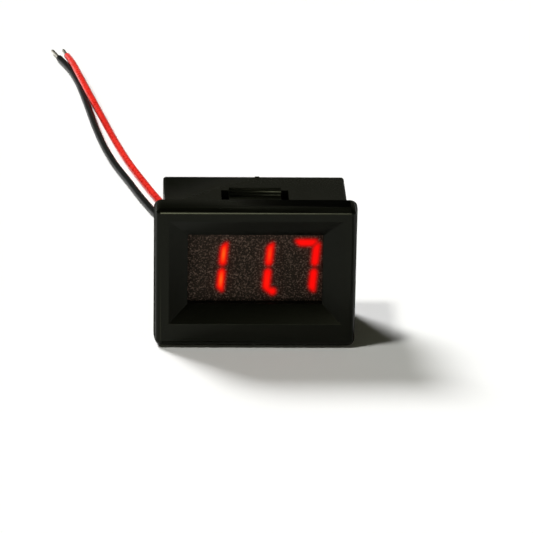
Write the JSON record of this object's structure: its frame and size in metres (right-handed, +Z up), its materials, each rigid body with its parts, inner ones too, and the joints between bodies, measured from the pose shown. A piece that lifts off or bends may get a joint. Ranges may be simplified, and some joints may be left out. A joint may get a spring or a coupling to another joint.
{
  "type": "digital panel meter",
  "caption": "Snap-in panel voltmeter: black rectangular bezel with a bevelled recess, red seven-segment display behind a dark film, snap tongues on the body and two leads.",
  "frame": {"origin": "The middle of the panel cut-out, in the plane of the panel's front face, where the back of the bezel seats.", "axes": "+X to the right as seen from the front, +Y back through the panel, +Z up. The display faces -Y."},
  "size_m": [0.0539, 0.157, 0.0242],
  "materials": {
    "black_plastic": "fine satin black moulding",
    "cover_plastic": "satin black moulding",
    "tinted_film": "smoky brown tinted film",
    "reflector_plastic": "matt dark grey face",
    "lit_resin": "red resin, alight",
    "dark_resin": "milky resin, not alight",
    "carrier_laminate": "tan laminate",
    "led_dice": "semiconductor dice",
    "tinned_metal": "tin plated",
    "board_laminate": "green solder mask",
    "package_plastic": "moulded black packages",
    "resistor_ceramic": "ceramic chips with a dark coat",
    "capacitor_ceramic": "tan ceramic",
    "tantalum_plastic": "yellow moulded case",
    "solder": "bright solder",
    "tinned_strand": "tinned copper strand",
    "red_insulation": "glossy red insulation",
    "black_insulation": "glossy black insulation"
  },
  "bodies": {
    "root": {"housing": "black_plastic", "rear_cover": "cover_plastic", "window_film": "tinted_film", "display_shell": "reflector_plastic", "lit_segments": "lit_resin", "unlit_segments": "dark_resin", "display_base": "carrier_laminate", "led_chips": "led_dice", "display_pins": "tinned_metal", "circuit_board": "board_laminate", "microcontroller": "package_plastic", "microcontroller_leads": "tinned_metal", "voltage_regulator": "package_plastic", "regulator_leads": "tinned_metal", "protection_diode": "package_plastic", "diode_leads": "tinned_metal", "segment_resistors": "resistor_ceramic", "divider_resistors": "resistor_ceramic", "ceramic_capacitors": "capacitor_ceramic", "tantalum_capacitor": "tantalum_plastic", "pin_solder": "solder", "wire_solder": "solder", "wire_cores": "tinned_strand", "red_wire": "red_insulation", "black_wire": "black_insulation", "red_wire_end": "tinned_strand", "black_wire_end": "tinned_strand"}
  },
  "joints": []
}
